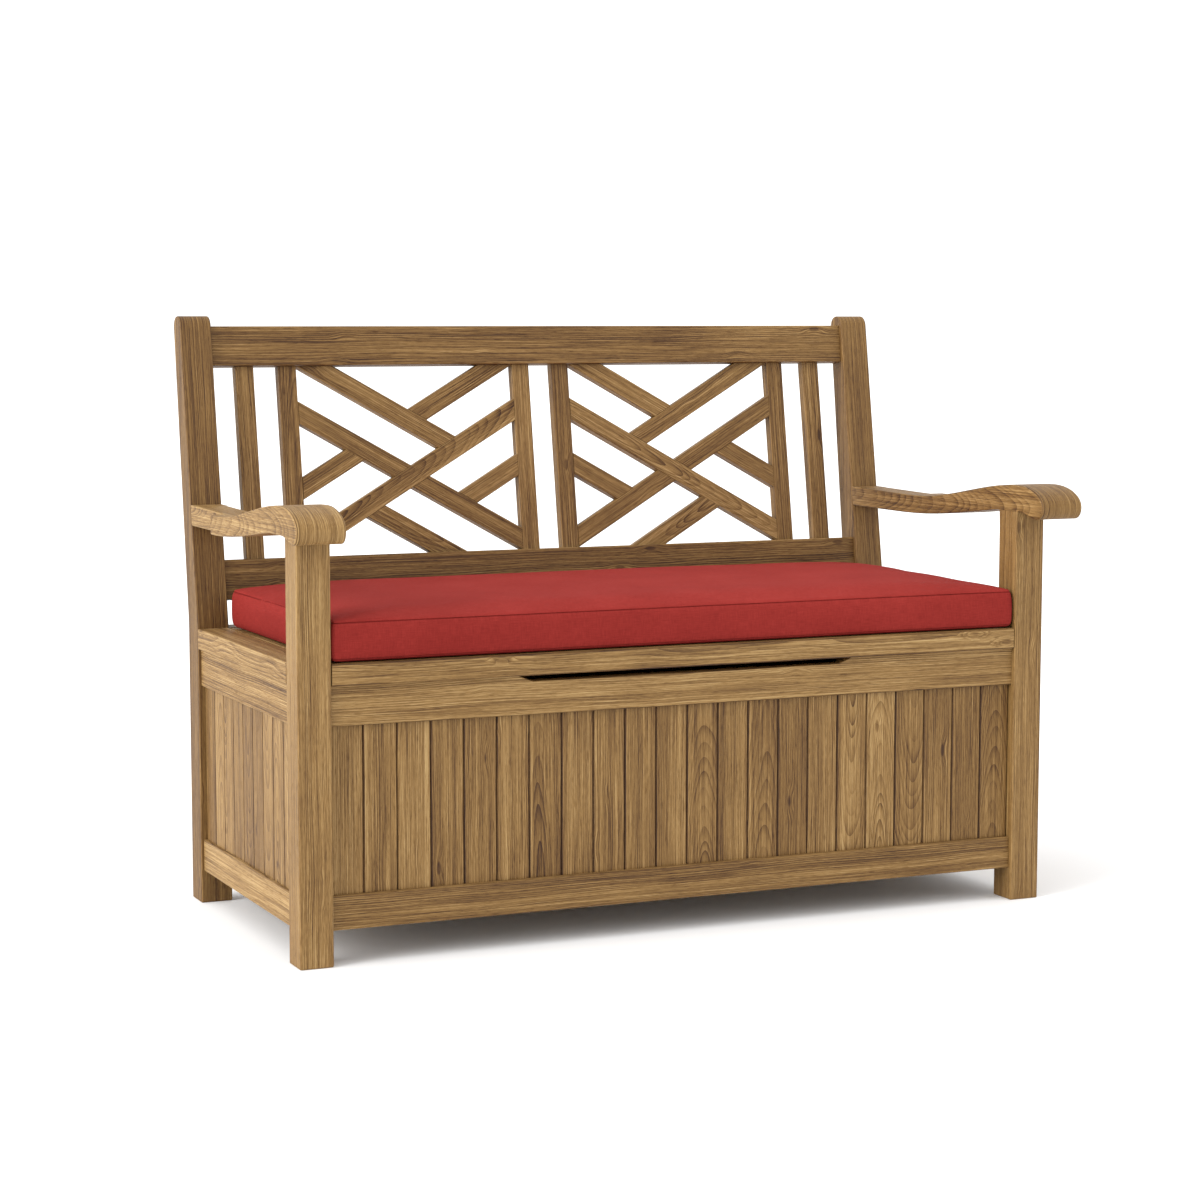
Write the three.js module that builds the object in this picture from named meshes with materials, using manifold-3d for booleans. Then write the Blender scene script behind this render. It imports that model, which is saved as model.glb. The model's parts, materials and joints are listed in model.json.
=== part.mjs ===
// Garden storage bench: a hardwood box on four legs with a hinged slatted lid,
// scrolled arms, a raked lattice back and one loose seat cushion.
// Millimetres. +X runs to the right seen from the front, +Y to the back, +Z up.
// "left" and "right" are seen from the front, facing the bench.

import * as THREE from 'three';
import { mergeVertices } from 'three/addons/utils/BufferGeometryUtils.js';
import Module from 'manifold-3d';

const wasm = await Module();
wasm.setup();

// ---------------------------------------------------------------- driving dimensions

const legSpan = 1270;          // over the outer faces of the legs
const baseDepth = 574;         // front face of the front legs to rear face of the rear posts
const seatHeight = 450;        // top of the lid and of the side seat rails
const backHeight = 952;        // top of the rear posts
const armSeat = 640;           // top of the front legs, where the arms sit

const legWidth = 52;           // legs and posts, across the bench
const legDepth = 53;           // front legs, front to back
const postDepth = 54;          // rear posts below the kink, front to back
const kinkHeight = 456;        // the rear posts lean back above this
const frontRake = THREE.MathUtils.degToRad(9.2);
const rearRake = THREE.MathUtils.degToRad(7.5);
const postTopRadius = 18;

const fitGap = 0.3;            // between a piece and what it is let into
const tenonLength = 22;
const tenonShoulder = 6;       // a rail's tenon is this much thinner on each face
const tenonEdge = 8;           // and this much narrower on each edge

const railThickness = 22;
const apronHeight = 60;
const bottomRailHeight = 52;
const groundGap = 53;          // floor to the underside of the bottom rails
const frontRecess = 8;         // front and rear rails behind the legs' faces
const sideRecess = 5;          // side rails behind the legs' outer faces

const boardThickness = 12;
const boardPitch = 53;         // nominal width of one upright board
const boardRecess = 8;         // board faces behind the front and rear rails' faces
const sideBoardRecess = 6;     // board faces behind the side rails' faces
const boardTongue = 8;         // boards reach this far into the rails' grooves
const veeWidth = 2.4;          // V joint between two boards
const veeDepth = 1.6;

const fingerHalf = 284;        // half length of the finger cut-out in the front apron
const fingerDepth = 9;
const fingerSlope = 22;        // run of each sloped end
const fingerRound = 8;

const floorThickness = 12;
const floorPitch = 85;         // nominal width of one floor board
const bearerWidth = 40;
const bearerHeight = 18;
const bearerCount = 3;

const lidThickness = 33;
const lidSideGap = 1.5;        // lid to each front leg and rear post
const lidRailWidth = 70;
const lidEndWidth = 60;
const lidSlatCount = 4;
const lidSlatThickness = 16;
const lidSlatGap = 8;
const battenWidth = 60;
const rearSeatRailBack = 8;    // rear seat rail in front of the posts' rear faces

const hingePost = 3.2;         // hinge axis in front of the rear posts' front faces
const hingeDrop = 4;           // hinge axis below the top of the lid
const hingeReach = 380;        // hinge centres from the middle of the bench
const hingeLength = 76;
const knuckleRadius = 3.5;
const knuckleCount = 5;
const leafThickness = 2.4;
const leafHeight = 26;
const pinRadius = 1.6;
const pinBore = 1.8;
const pinHead = 2.6;

const armOverhang = 23;        // arm outside the leg's outer face
const noseReach = 76;          // arm in front of the leg's front face
const armShoulder = 160;       // arm is leg wide for this length in front of the rear post
const armTenon = 20;

const backRailThickness = 30;
const backRailHeight = 65;
const backRailRecess = 8;      // behind the posts' raked front faces
const topRailDrop = 15;        // below the top of the posts, along the rake
const bottomRailRise = 105;    // top of the lower back rail above the kink, along the rake
const slatWidth = 31;
const slatThickness = 19;
const slatGap = 42;
const slatRecess = 19;
const slatTenon = 14;
const slatShoulder = 4.5;
const barWidth = 32;           // lattice bars
const longBarClimb = 0.7;      // share of the back opening that a long lattice bar climbs

const cushionThickness = 67;
const cushionGap = 1;          // cushion to the lid and the legs
const cushionFront = 2;        // cushion face behind the legs' front faces
const cushionRound = 12;

// ---------------------------------------------------------------- derived places

const outerX = legSpan / 2;
const innerX = outerX - legWidth;
const postFront = baseDepth - postDepth;
const lidBottom = seatHeight - lidThickness;
const apronTop = lidBottom - fitGap;
const apronBottom = apronTop - apronHeight;
const bottomRailTop = groundGap + bottomRailHeight;
const hingeY = postFront - hingePost;
const hingeZ = seatHeight - hingeDrop;
const lidBack = hingeY - knuckleRadius - fitGap;
const rearRailFront = hingeY + knuckleRadius + fitGap;

// Front face of a rear post at height z above the kink.
const postFaceAt = (z) => postFront + (z - kinkHeight) * Math.tan(frontRake);

// ---------------------------------------------------------------- finishes

const teak = (color = 0x9c7a50) => new THREE.MeshStandardMaterial({ color, roughness: 0.62, metalness: 0 });
const brass = () => new THREE.MeshStandardMaterial({ color: 0xb08d4c, roughness: 0.35, metalness: 0.9 });
const redFabric = () => new THREE.MeshStandardMaterial({ color: 0xa53734, roughness: 0.95, metalness: 0 });

// ---------------------------------------------------------------- shapes

const bench = new THREE.Group();
const back = new THREE.Group();           // frame of the raked back, its z along the posts' front faces
back.position.set(0, postFront, kinkHeight);
back.rotation.x = -frontRake;
bench.add(back);

// A closed outline whose corners may be rounded: [x, y] or [x, y, radius].
function outline(corners) {
  const shape = new THREE.Shape();
  const kappa = 0.5523;
  const count = corners.length;
  corners.forEach(([x, y, radius = 0], index) => {
    const corner = new THREE.Vector2(x, y);
    const before = new THREE.Vector2(...corners[(index + count - 1) % count]).sub(corner);
    const after = new THREE.Vector2(...corners[(index + 1) % count]).sub(corner);
    const half = before.angleTo(after) / 2;
    const reach = radius / Math.tan(half);
    const start = corner.clone().addScaledVector(before.normalize(), reach);
    const end = corner.clone().addScaledVector(after.normalize(), reach);
    if (index === 0) shape.moveTo(start.x, start.y);
    else shape.lineTo(start.x, start.y);
    if (radius > 0) {
      const first = start.clone().lerp(corner, kappa);
      const second = end.clone().lerp(corner, kappa);
      shape.bezierCurveTo(first.x, first.y, second.x, second.y, end.x, end.y);
    }
  });
  shape.closePath();
  return shape;
}

function extruded(shape, depth, curveSegments = 6) {
  return new THREE.ExtrudeGeometry(shape, { depth, bevelEnabled: false, curveSegments });
}

// A side view (y, z) carried across the bench from x0 to x1.
function fromSide(shape, [x0, x1], curveSegments) {
  const geometry = extruded(shape, x1 - x0, curveSegments);
  const turn = new THREE.Matrix4().makeBasis(
    new THREE.Vector3(0, 1, 0), new THREE.Vector3(0, 0, 1), new THREE.Vector3(1, 0, 0));
  return geometry.applyMatrix4(turn).translate(x0, 0, 0);
}

// A front view (x, z) carried back through the bench from y0 to y1.
function fromFront(shape, [y0, y1], curveSegments) {
  const geometry = extruded(shape, y1 - y0, curveSegments);
  const turn = new THREE.Matrix4().makeBasis(
    new THREE.Vector3(1, 0, 0), new THREE.Vector3(0, 0, 1), new THREE.Vector3(0, -1, 0));
  return geometry.applyMatrix4(turn).translate(0, y1, 0);
}

function blockGeometry([x0, x1], [y0, y1], [z0, z1]) {
  const geometry = new THREE.BoxGeometry(x1 - x0, y1 - y0, z1 - z0);
  return geometry.translate((x0 + x1) / 2, (y0 + y1) / 2, (z0 + z1) / 2);
}

// Adds a named piece whose geometry is given in its group's frame.
// The mesh is placed at the middle of that geometry.
function piece(name, geometry, material, group = bench) {
  geometry.computeBoundingBox();
  const centre = geometry.boundingBox.getCenter(new THREE.Vector3());
  geometry.translate(-centre.x, -centre.y, -centre.z);
  const mesh = new THREE.Mesh(geometry, material);
  mesh.name = name;
  mesh.position.copy(centre);
  group.add(mesh);
  return mesh;
}

const block = (name, xs, ys, zs, group, material = teak()) =>
  piece(name, blockGeometry(xs, ys, zs), material, group);

// An [inner, outer] pair of distances from the middle, as an ordered x range on one side.
const span = (side, inner, outer) => (side < 0 ? [-outer, -inner] : [inner, outer]);
const grown = ([low, high], gap) => [low - gap, high + gap];
const sideName = (side) => (side < 0 ? 'left' : 'right');
const bothSides = [-1, 1];

// ---------------------------------------------------------------- joins and cuts

function toSolid(geometry, matrix) {
  const plain = geometry.clone().applyMatrix4(matrix);
  plain.deleteAttribute('normal');
  plain.deleteAttribute('uv');
  const merged = mergeVertices(plain, 1e-4);
  return new wasm.Manifold(new wasm.Mesh({
    numProp: 3,
    vertProperties: new Float32Array(merged.attributes.position.array),
    triVerts: new Uint32Array(merged.index.array),
  }));
}

function toGeometry(solid) {
  const { vertProperties, triVerts } = solid.getMesh();
  const geometry = new THREE.BufferGeometry();
  geometry.setAttribute('position', new THREE.BufferAttribute(new Float32Array(vertProperties), 3));
  geometry.setIndex(new THREE.BufferAttribute(new Uint32Array(triVerts), 1));
  geometry.computeVertexNormals();
  return geometry;
}

// Joins or cuts a placed piece with geometries given in the frame of `group`.
function reshape(mesh, operation, geometries, group = mesh.parent) {
  bench.updateMatrixWorld(true);
  const intoMesh = mesh.matrixWorld.clone().invert().multiply(group.matrixWorld);
  let solid = toSolid(mesh.geometry, new THREE.Matrix4());
  for (const geometry of geometries) solid = solid[operation](toSolid(geometry, intoMesh));
  mesh.geometry = toGeometry(solid);
}

const join = (mesh, geometries, group) => reshape(mesh, 'add', geometries, group);
const cut = (mesh, geometries, group) => reshape(mesh, 'subtract', geometries, group);

// Gives `mesh` a tenon and cuts the mortise for it in `host`.
function tenon(mesh, host, xs, ys, zs) {
  join(mesh, [blockGeometry(xs, ys, zs)]);
  cut(host, [blockGeometry(grown(xs, fitGap), grown(ys, fitGap), grown(zs, fitGap))], mesh.parent);
}

const rooted = 2;              // a tenon starts this far inside its own piece

// Tenons at both ends of a piece that runs along x between `hosts` (left, right).
function tenonsAlongX(mesh, hosts, end, ys, zs, length = tenonLength) {
  tenon(mesh, hosts[0], [-end - length, -end + rooted], ys, zs);
  tenon(mesh, hosts[1], [end - rooted, end + length], ys, zs);
}

// Tenons at both ends of a piece that runs along y between `hosts` (front, rear).
function tenonsAlongY(mesh, hosts, [y0, y1], xs, zs, length = tenonLength) {
  tenon(mesh, hosts[0], xs, [y0 - length, y0 + rooted], zs);
  tenon(mesh, hosts[1], xs, [y1 - rooted, y1 + length], zs);
}

// ---------------------------------------------------------------- legs and posts

const frontLegs = bothSides.map((side) => block(
  `front_leg_${sideName(side)}`, span(side, innerX, outerX), [0, legDepth], [0, armSeat - fitGap]));

const rearFaceTop = baseDepth + (backHeight - kinkHeight) * Math.tan(rearRake);
const postOutline = outline([
  [postFront, 0],
  [baseDepth, 0],
  [baseDepth, kinkHeight],
  [rearFaceTop, backHeight, postTopRadius],
  [postFaceAt(backHeight), backHeight, postTopRadius],
  [postFront, kinkHeight],
]);
const rearPosts = bothSides.map((side) => piece(
  `rear_post_${sideName(side)}`, fromSide(postOutline, span(side, innerX, outerX)), teak()));

// ---------------------------------------------------------------- box rails

const railEnd = innerX - fitGap;
const railFront = [frontRecess, frontRecess + railThickness];
const railRear = [baseDepth - frontRecess - railThickness, baseDepth - frontRecess];
const sideRail = [legDepth + fitGap, postFront - fitGap];
const apronZ = [apronBottom, apronTop];
const bottomRailZ = [groundGap, bottomRailTop];
const thinned = (range, by) => grown(range, -by);

function railAlongX(name, hosts, ys, zs) {
  const rail = block(name, [-railEnd, railEnd], ys, zs);
  tenonsAlongX(rail, hosts, railEnd, thinned(ys, tenonShoulder), thinned(zs, tenonEdge));
  return rail;
}

const fingerTop = apronTop + 1;
const fingerCut = fromFront(outline([
  [-fingerHalf - fingerSlope / fingerDepth, fingerTop],
  [-fingerHalf + fingerSlope, apronTop - fingerDepth, fingerRound],
  [fingerHalf - fingerSlope, apronTop - fingerDepth, fingerRound],
  [fingerHalf + fingerSlope / fingerDepth, fingerTop],
]), grown(railFront, 1));

const frontApron = railAlongX('front_apron', frontLegs, railFront, apronZ);
cut(frontApron, [fingerCut]);
const frontBottomRail = railAlongX('front_bottom_rail', frontLegs, railFront, bottomRailZ);
const rearApron = railAlongX('rear_apron', rearPosts, railRear, apronZ);
const rearBottomRail = railAlongX('rear_bottom_rail', rearPosts, railRear, bottomRailZ);

function railAlongY(name, side, zs) {
  const xs = span(side, outerX - sideRecess - railThickness, outerX - sideRecess);
  const rail = block(name, xs, sideRail, zs);
  const hosts = side < 0 ? [frontLegs[0], rearPosts[0]] : [frontLegs[1], rearPosts[1]];
  tenonsAlongY(rail, hosts, sideRail, thinned(xs, tenonShoulder), thinned(zs, tenonEdge));
  return rail;
}

const sideAprons = bothSides.map((side) => railAlongY(`side_apron_${sideName(side)}`, side, apronZ));
const sideBottomRails = bothSides.map(
  (side) => railAlongY(`side_bottom_rail_${sideName(side)}`, side, bottomRailZ));

// The side seat rails are as wide as the legs and level with the lid.
const seatRailTenon = 16;
bothSides.forEach((side, index) => {
  const zs = [lidBottom, seatHeight];
  const rail = block(`seat_side_rail_${sideName(side)}`, span(side, innerX, outerX), sideRail, zs);
  const middle = (innerX + outerX) / 2;
  const xs = span(side, middle - seatRailTenon / 2, middle + seatRailTenon / 2);
  tenonsAlongY(rail, [frontLegs[index], rearPosts[index]], sideRail, xs, thinned(zs, tenonEdge));
});

// The rear seat rail carries the hinges and lies level with the closed lid.
const rearSeatRailY = [rearRailFront, baseDepth - rearSeatRailBack];
const rearSeatRailZ = [lidBottom, seatHeight];
const rearSeatRail = block('rear_seat_rail', [-railEnd, railEnd], rearSeatRailY, rearSeatRailZ);
const rearSeatTenonY = [postFront + tenonLength + 3, baseDepth - tenonShoulder - rearSeatRailBack];
tenonsAlongX(rearSeatRail, rearPosts, railEnd, rearSeatTenonY, thinned(rearSeatRailZ, tenonEdge));

// ---------------------------------------------------------------- boarded panels

// A panel of upright boards, `length` wide with its outer face at y = 0 and its thickness behind,
// with a V joint in the outer face between each two boards.
function boardedPanel(length, thickness, pitch, height) {
  const count = Math.round(length / pitch);
  const points = [[-length / 2, thickness], [-length / 2, 0]];
  for (let board = 1; board < count; board += 1) {
    const x = -length / 2 + (board * length) / count;
    points.push([x - veeWidth / 2, 0], [x, veeDepth], [x + veeWidth / 2, 0]);
  }
  points.push([length / 2, 0], [length / 2, thickness]);
  return extruded(outline(points), height);
}

const panelZ = [bottomRailTop - boardTongue, apronBottom + boardTongue];
const panelHeight = panelZ[1] - panelZ[0];

// Cuts the groove for a panel in the two rails that hold it.
function groove(rails, xs, ys) {
  const room = blockGeometry(grown(xs, fitGap), grown(ys, fitGap), grown(panelZ, fitGap));
  rails.forEach((rail) => cut(rail, [room], bench));
}

const frontPanel = boardedPanel(2 * railEnd, boardThickness, boardPitch, panelHeight);
const frontPanelY = [frontRecess + boardRecess, frontRecess + boardRecess + boardThickness];
const rearPanelY = [baseDepth - frontPanelY[1], baseDepth - frontPanelY[0]];
piece('front_boards', frontPanel.clone().translate(0, frontPanelY[0], panelZ[0]), teak());
piece('rear_boards', frontPanel.clone().rotateZ(Math.PI).translate(0, rearPanelY[1], panelZ[0]), teak());
groove([frontApron, frontBottomRail], [-innerX, innerX], frontPanelY);
groove([rearApron, rearBottomRail], [-innerX, innerX], rearPanelY);

const sidePanelLength = sideRail[1] - sideRail[0];
const sidePanelMiddle = (sideRail[0] + sideRail[1]) / 2;
const sidePanelOuter = outerX - sideRecess - sideBoardRecess;
bothSides.forEach((side, index) => {
  const panel = boardedPanel(sidePanelLength, boardThickness, boardPitch, panelHeight);
  panel.rotateZ((side * Math.PI) / 2).translate(side * sidePanelOuter, sidePanelMiddle, panelZ[0]);
  piece(`side_boards_${sideName(side)}`, panel, teak());
  const xs = span(side, sidePanelOuter - boardThickness, sidePanelOuter);
  groove([sideAprons[index], sideBottomRails[index]], xs, sideRail);
});

// ---------------------------------------------------------------- box floor

// Floor boards nailed to bearers, whose ends are let into the bottom rails.
const floorHalf = outerX - sideRecess - railThickness - fitGap;
const floorY = [railFront[1] + fitGap, railRear[0] - fitGap];
const bearerZ = [groundGap + 2, groundGap + 2 + bearerHeight];
const floorZ = [bearerZ[1], bearerZ[1] + floorThickness];
const bearerTenon = 10;
const floorDepth = floorY[1] - floorY[0];

const floorBoards = boardedPanel(floorDepth, floorThickness, floorPitch, 2 * floorHalf)
  .applyMatrix4(new THREE.Matrix4().makeBasis(
    new THREE.Vector3(0, -1, 0), new THREE.Vector3(0, 0, -1), new THREE.Vector3(1, 0, 0)))
  .translate(-floorHalf, (floorY[0] + floorY[1]) / 2, floorZ[1]);
const boxFloor = piece('box_floor', floorBoards, teak(0x8f6f48));
cut(boxFloor, [...frontLegs, ...rearPosts].map((leg, index) => {
  const side = index % 2 === 0 ? -1 : 1;
  const ys = index < 2 ? [0, legDepth] : [postFront, baseDepth];
  return blockGeometry(grown(span(side, innerX, outerX), fitGap), grown(ys, fitGap), grown(floorZ, 1));
}));
for (let bearer = 0; bearer < bearerCount; bearer += 1) {
  const x = ((bearer + 0.5) / bearerCount - 0.5) * 2 * floorHalf;
  const xs = [x - bearerWidth / 2, x + bearerWidth / 2];
  join(boxFloor, [blockGeometry(xs, floorY, [bearerZ[0], bearerZ[1] + rooted])], bench);
  tenonsAlongY(boxFloor, [frontBottomRail, rearBottomRail], floorY, xs, thinned(bearerZ, 2), bearerTenon);
}

// ---------------------------------------------------------------- lid

const lidHalf = innerX - lidSideGap;
const lidZ = [lidBottom, seatHeight];
const lidFrontRail = block('lid_front_rail', [-lidHalf, lidHalf], [0, lidRailWidth], lidZ);
const lidRearRail = block('lid_rear_rail', [-lidHalf, lidHalf], [lidBack - lidRailWidth, lidBack], lidZ);
const lidOpening = [lidRailWidth + fitGap, lidBack - lidRailWidth - fitGap];

const lidEnds = bothSides.map((side) => {
  const xs = span(side, lidHalf - lidEndWidth, lidHalf);
  const end = block(`lid_end_${sideName(side)}`, xs, lidOpening, lidZ);
  tenonsAlongY(end, [lidFrontRail, lidRearRail], lidOpening, thinned(xs, tenonEdge), thinned(lidZ, 10));
  return end;
});

const slatSpace = lidOpening[1] - lidOpening[0] - (lidSlatCount + 1) * lidSlatGap;
const lidSlatWidth = slatSpace / lidSlatCount;
const lidSlatEnd = lidHalf - lidEndWidth - fitGap;
const lidSlatZ = [seatHeight - lidSlatThickness, seatHeight];
const lidSlatTongue = 10;
for (let slat = 0; slat < lidSlatCount; slat += 1) {
  const y0 = lidOpening[0] + lidSlatGap + slat * (lidSlatWidth + lidSlatGap);
  const ys = [y0, y0 + lidSlatWidth];
  const strip = block(`lid_slat_${slat + 1}`, [-lidSlatEnd, lidSlatEnd], ys, lidSlatZ);
  tenonsAlongX(strip, lidEnds, lidSlatEnd, thinned(ys, 10), thinned(lidSlatZ, 4), lidSlatTongue);
}

const battenX = [-battenWidth / 2, battenWidth / 2];
const battenZ = [lidBottom, lidSlatZ[0] - fitGap];
const lidBatten = block('lid_middle_batten', battenX, lidOpening, battenZ);
tenonsAlongY(lidBatten, [lidFrontRail, lidRearRail], lidOpening,
  thinned(battenX, tenonEdge), thinned(battenZ, 4), lidSlatTongue);

// ---------------------------------------------------------------- hinges

// A cylinder along x, centred on (x, hingeY, hingeZ).
function rod(x, length, radius) {
  const geometry = new THREE.CylinderGeometry(radius, radius, length, 16);
  return geometry.rotateZ(Math.PI / 2).translate(x, hingeY, hingeZ);
}

// One leaf of a hinge: `facing` is -1 on the lid's rear edge and 1 on the rear seat rail.
// `first` is the index of its first knuckle.
function hingeLeaf(name, centreX, facing, first) {
  const start = centreX - hingeLength / 2;
  const pitch = hingeLength / knuckleCount;
  const plateTop = hingeZ - knuckleRadius - 2 * fitGap;
  const ys = [hingeY + facing * (knuckleRadius - leafThickness), hingeY + facing * knuckleRadius];
  ys.sort((a, b) => a - b);
  const leaf = block(name, [start, start + hingeLength], ys, [plateTop - leafHeight, plateTop], bench, brass());
  for (let knuckle = first; knuckle < knuckleCount; knuckle += 2) {
    const low = start + knuckle * pitch + (knuckle > 0 ? fitGap / 2 : 0);
    const high = start + (knuckle + 1) * pitch - (knuckle < knuckleCount - 1 ? fitGap / 2 : 0);
    join(leaf, [
      blockGeometry([low, high], ys, [plateTop - rooted, hingeZ]),
      rod((low + high) / 2, high - low, knuckleRadius),
    ]);
  }
  cut(leaf, [rod(centreX, hingeLength + 2, pinBore)]);
}

bothSides.forEach((side) => {
  const centreX = side * hingeReach;
  hingeLeaf(`hinge_frame_leaf_${sideName(side)}`, centreX, 1, 0);
  hingeLeaf(`hinge_lid_leaf_${sideName(side)}`, centreX, -1, 1);
  const half = hingeLength / 2;
  const headLength = 1.5;
  const profile = [
    [0, -half - headLength], [pinHead, -half - headLength], [pinHead, -half - fitGap],
    [pinRadius, -half - fitGap], [pinRadius, half + fitGap],
    [pinHead, half + fitGap], [pinHead, half + headLength], [0, half + headLength],
  ].map(([radius, along]) => new THREE.Vector2(radius, along));
  const pin = new THREE.LatheGeometry(profile, 16).rotateZ(Math.PI / 2).translate(centreX, hingeY, hingeZ);
  piece(`hinge_pin_${sideName(side)}`, pin, brass());
});

// ---------------------------------------------------------------- arms

// Side view of an arm: level at the rear post, a dip, a rise over the front leg,
// and a rounded nose that hooks down in front of it.
const armLow = armSeat - 25;               // underside along the back half
const armCrest = armSeat + 43;
const armDip = armSeat + 6.5;
const armBackTop = armSeat + 8.5;
const dipY = 0.64 * postFront;
const armShape = new THREE.Shape();
armShape.moveTo(postFaceAt(armLow) - fitGap, armLow);
armShape.lineTo(postFaceAt(armBackTop) - fitGap, armBackTop);
armShape.bezierCurveTo(postFront - 20, armBackTop, dipY + 80, armDip, dipY, armDip);
armShape.bezierCurveTo(0.65 * dipY, armDip, 0.31 * dipY, armCrest, 0, armCrest);
armShape.bezierCurveTo(-0.5 * noseReach, armCrest, -noseReach, armSeat + 30, -noseReach, armSeat + 10);
armShape.bezierCurveTo(-noseReach, armSeat - 2, 8 - noseReach, armSeat - 9.5, 19 - noseReach, armSeat - 9.5);
armShape.bezierCurveTo(-0.5 * noseReach, armSeat - 9.5, -0.25 * noseReach, armSeat, -2, armSeat);
armShape.lineTo(legDepth + 2, armSeat);
armShape.bezierCurveTo(0.4 * dipY, armSeat - 6, 0.7 * dipY, armLow, dipY + 40, armLow);
armShape.closePath();

const legTenon = 28;
bothSides.forEach((side, index) => {
  const arm = piece(`armrest_${sideName(side)}`,
    fromSide(armShape, span(side, innerX, outerX + armOverhang), 10), teak());
  const shoulderY = postFront - armShoulder;
  cut(arm, [blockGeometry(span(side, outerX, outerX + armOverhang + 1),
    [shoulderY, baseDepth + 100], [armLow - 1, armCrest])], bench);
  const middleX = (innerX + outerX) / 2;
  const tongueX = span(side, middleX - legTenon / 4, middleX + legTenon / 4);
  const tongueZ = [armLow + 7, armBackTop - 7];
  const face = postFaceAt(armLow);
  tenon(arm, rearPosts[index], tongueX, [face - 3 * rooted, face + armTenon], tongueZ);
  const pegX = span(side, middleX - legTenon / 2, middleX + legTenon / 2);
  const pegY = [(legDepth - legTenon) / 2, (legDepth + legTenon) / 2];
  tenon(frontLegs[index], arm, pegX, pegY, [armSeat - fitGap - rooted, armSeat + tenonLength]);
});

// ---------------------------------------------------------------- raked back

// Everything here is in the frame of `back`: x across, y behind the posts' front faces,
// z along them from the kink.
const postTopAlong = (backHeight - kinkHeight) / Math.cos(frontRake);
const topRailZ = [postTopAlong - topRailDrop - backRailHeight, postTopAlong - topRailDrop];
const lowRailZ = [bottomRailRise - backRailHeight, bottomRailRise];
const backRailY = [backRailRecess, backRailRecess + backRailThickness];
const backTenonY = thinned(backRailY, 9);

function backRail(name, zs) {
  const rail = block(name, [-railEnd, railEnd], backRailY, zs, back);
  tenonsAlongX(rail, rearPosts, railEnd, backTenonY, thinned(zs, tenonEdge));
  return rail;
}
const topRail = backRail('back_top_rail', topRailZ);
const lowRail = backRail('back_bottom_rail', lowRailZ);

const slatY = [slatRecess, slatRecess + slatThickness];
const slatZ = [lowRailZ[1] + fitGap, topRailZ[0] - fitGap];
const slatPitch = slatGap + slatWidth;
const outerSlat = innerX - slatGap - slatWidth / 2;
const slatCentres = [outerSlat, outerSlat - slatPitch, (slatGap + slatWidth) / 2];
const slatPlaces = [...slatCentres.map((x) => -x), ...[...slatCentres].reverse()];
slatPlaces.forEach((x, index) => {
  const xs = [x - slatWidth / 2, x + slatWidth / 2];
  const slat = block(`back_slat_${index + 1}`, xs, slatY, slatZ, back);
  const tongueX = thinned(xs, slatShoulder);
  const tongueY = thinned(slatY, slatShoulder);
  tenon(slat, lowRail, tongueX, tongueY, [slatZ[0] - slatTenon, slatZ[0] + rooted]);
  tenon(slat, topRail, tongueX, tongueY, [slatZ[1] - rooted, slatZ[1] + slatTenon]);
});

// Lattice: in each panel three bars slope each way. `rise` is the slope of a bar's centre line,
// seen in the left panel, and the right panel mirrors it.
const panelInner = slatCentres[2] + slatWidth / 2;
const panelOuter = slatCentres[1] - slatWidth / 2;
const panelHalf = (panelOuter - panelInner) / 2;
const openHeight = slatZ[1] - slatZ[0];
const slope = (longBarClimb * openHeight) / (2 * panelHalf);
const barStep = (1 - longBarClimb) * openHeight;
const barTall = barWidth * Math.hypot(1, slope);       // a bar's width measured upright
const latticeMiddle = panelHalf * slope + barTall / 2;

// Keeps the part of a convex polygon where a*x + b*z <= c.
function clip(polygon, [a, b, c]) {
  const kept = [];
  polygon.forEach((point, index) => {
    const next = polygon[(index + 1) % polygon.length];
    const here = a * point[0] + b * point[1] - c;
    const there = a * next[0] + b * next[1] - c;
    if (here <= 0) kept.push(point);
    if (here * there < 0) {
      const t = here / (here - there);
      kept.push([point[0] + t * (next[0] - point[0]), point[1] + t * (next[1] - point[1])]);
    }
  });
  return kept;
}

// A bar's centre line z = middle + offset + direction * slope * x, in panel coordinates.
const rising = (offset) => ({ direction: 1, offset });
const falling = (offset) => ({ direction: -1, offset });
const frameEdges = [
  [-1, 0, panelHalf - fitGap], [1, 0, panelHalf - fitGap],
  [0, -1, -fitGap], [0, 1, openHeight - fitGap],
];

function barStrip({ direction, offset }, gap = 0) {
  const tall = barTall / 2 + gap;
  const reach = 2 * panelHalf;
  const at = (x, shift) => [x, latticeMiddle + offset + direction * slope * x + shift];
  return [at(-reach, -tall), at(reach, -tall), at(reach, tall), at(-reach, tall)];
}

// The half plane above or below a crossing bar, with a gap to it.
function besideBar({ direction, offset }, above) {
  const edge = latticeMiddle + offset + (above ? 1 : -1) * (barTall / 2 + fitGap);
  return above ? [direction * slope, -1, -edge] : [-direction * slope, 1, edge];
}

const longFalling = falling(0);
const longRising = rising(0);
const upperFalling = falling(barStep);
const latticeBars = [
  { name: 'long_falling', bar: longFalling, limits: [] },
  { name: 'long_rising', bar: longRising, limits: [] },
  { name: 'upper_falling', bar: upperFalling, limits: [besideBar(longRising, true)] },
  { name: 'lower_falling', bar: falling(-barStep), limits: [besideBar(longRising, false)] },
  { name: 'upper_rising', bar: rising(barStep), limits: [besideBar(upperFalling, true)] },
  { name: 'outer_rising', bar: rising(barStep), limits: [besideBar(longFalling, false)] },
  { name: 'lower_rising', bar: rising(-barStep), limits: [besideBar(longFalling, true)] },
];
const halfLapY = slatRecess + slatThickness / 2;

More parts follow.
